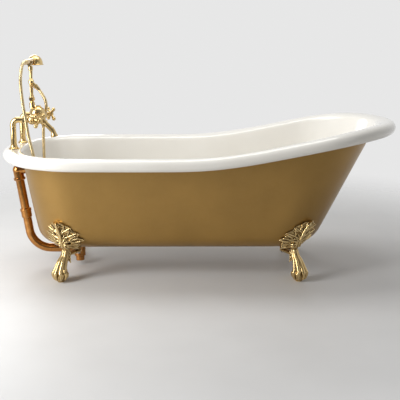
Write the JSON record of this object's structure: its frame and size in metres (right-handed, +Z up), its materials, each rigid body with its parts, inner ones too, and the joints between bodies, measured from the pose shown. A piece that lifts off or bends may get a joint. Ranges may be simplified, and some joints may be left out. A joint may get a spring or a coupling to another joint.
{
  "type": "cast iron bathtub",
  "caption": "Slipper bath in cast iron on claw and ball feet, with deck mounted telephone mixer, hand shower, hose, waste and overflow pipe.",
  "frame": {"origin": "on the floor under the middle of the bath's length and width", "axes": "+X along the bath from the taps to the high back rest, +Z up, -Y towards the viewer in the picture"},
  "size_m": [1.6978, 0.76, 0.927],
  "materials": {
    "gold_painted_iron": "satin metallic gold paint over cast iron",
    "white_enamel": "glossy fired vitreous enamel, opaque",
    "polished_gold": "polished gold plate on brass",
    "copper_brass": "polished copper-coloured brass",
    "black_rubber": "matt rubber",
    "zinc_steel": "zinc plated",
    "gold_hose": "ribbed gold plated metal hose"
  },
  "bodies": {
    "bath": {"tub_shell": "gold_painted_iron", "enamel_lining": "white_enamel", "foot_tap_near": "polished_gold", "foot_tap_far": "polished_gold", "foot_head_near": "polished_gold", "foot_head_far": "polished_gold", "foot_washers": "zinc_steel", "foot_bolts": "zinc_steel", "overflow_plate": "polished_gold", "overflow_screws": "polished_gold", "overflow_gasket": "black_rubber", "overflow_elbow": "copper_brass", "overflow_nut": "copper_brass", "overflow_tube": "copper_brass", "slip_nut": "copper_brass", "overflow_bend": "copper_brass", "inlet_nut": "copper_brass", "waste_tee": "copper_brass", "waste_gasket": "black_rubber", "waste_flange": "polished_gold", "tailpiece": "copper_brass", "tailpiece_nut": "copper_brass", "riser_hot": "polished_gold", "riser_cold": "polished_gold", "riser_flange_hot": "polished_gold", "riser_flange_cold": "polished_gold", "deck_washer_hot": "black_rubber", "deck_washer_cold": "black_rubber", "shank_nut_hot": "polished_gold", "shank_nut_cold": "polished_gold", "union_nut_hot": "polished_gold", "union_nut_cold": "polished_gold", "mixer_body": "polished_gold", "bonnet_hot": "polished_gold", "bonnet_cold": "polished_gold", "spout": "polished_gold", "column": "polished_gold", "cradle": "polished_gold", "outlet_nut": "polished_gold", "hose": "gold_hose"},
    "hot_handle": {"spindle_hot": "polished_gold", "handle_hot": "polished_gold", "index_hot": "polished_gold"},
    "cold_handle": {"spindle_cold": "polished_gold", "handle_cold": "polished_gold", "index_cold": "polished_gold"},
    "diverter": {"diverter_lever": "polished_gold"},
    "handset": {"handset_nut": "polished_gold", "handset_handle": "polished_gold", "handset_bell": "polished_gold", "spray_face": "polished_gold"},
    "plug": {"waste_plug": "polished_gold"}
  },
  "joints": [
    {"name": "hot_handle_turn", "type": "hinge", "parent": "bath", "child": "hot_handle", "pos_m": [-0.705, 0.089, 0.664], "axis": [0.7071, 0.7071, 0], "range_deg": [0, 90]},
    {"name": "cold_handle_turn", "type": "hinge", "parent": "bath", "child": "cold_handle", "pos_m": [-0.705, -0.089, 0.664], "axis": [0.7071, -0.7071, 0], "range_deg": [-90, 0]},
    {"name": "diverter_turn", "type": "hinge", "parent": "bath", "child": "diverter", "pos_m": [-0.72, -0.018, 0.744], "axis": [0, -1, 0], "range_deg": [-90, 0]},
    {"name": "handset_lift", "type": "slide", "parent": "bath", "child": "handset", "axis": [0, 0, 1], "range_m": [0, 0.15], "deforming": ["hose"]},
    {"name": "plug_lift", "type": "slide", "parent": "bath", "child": "plug", "axis": [0, 0, 1], "range_m": [0, 0.008]}
  ]
}
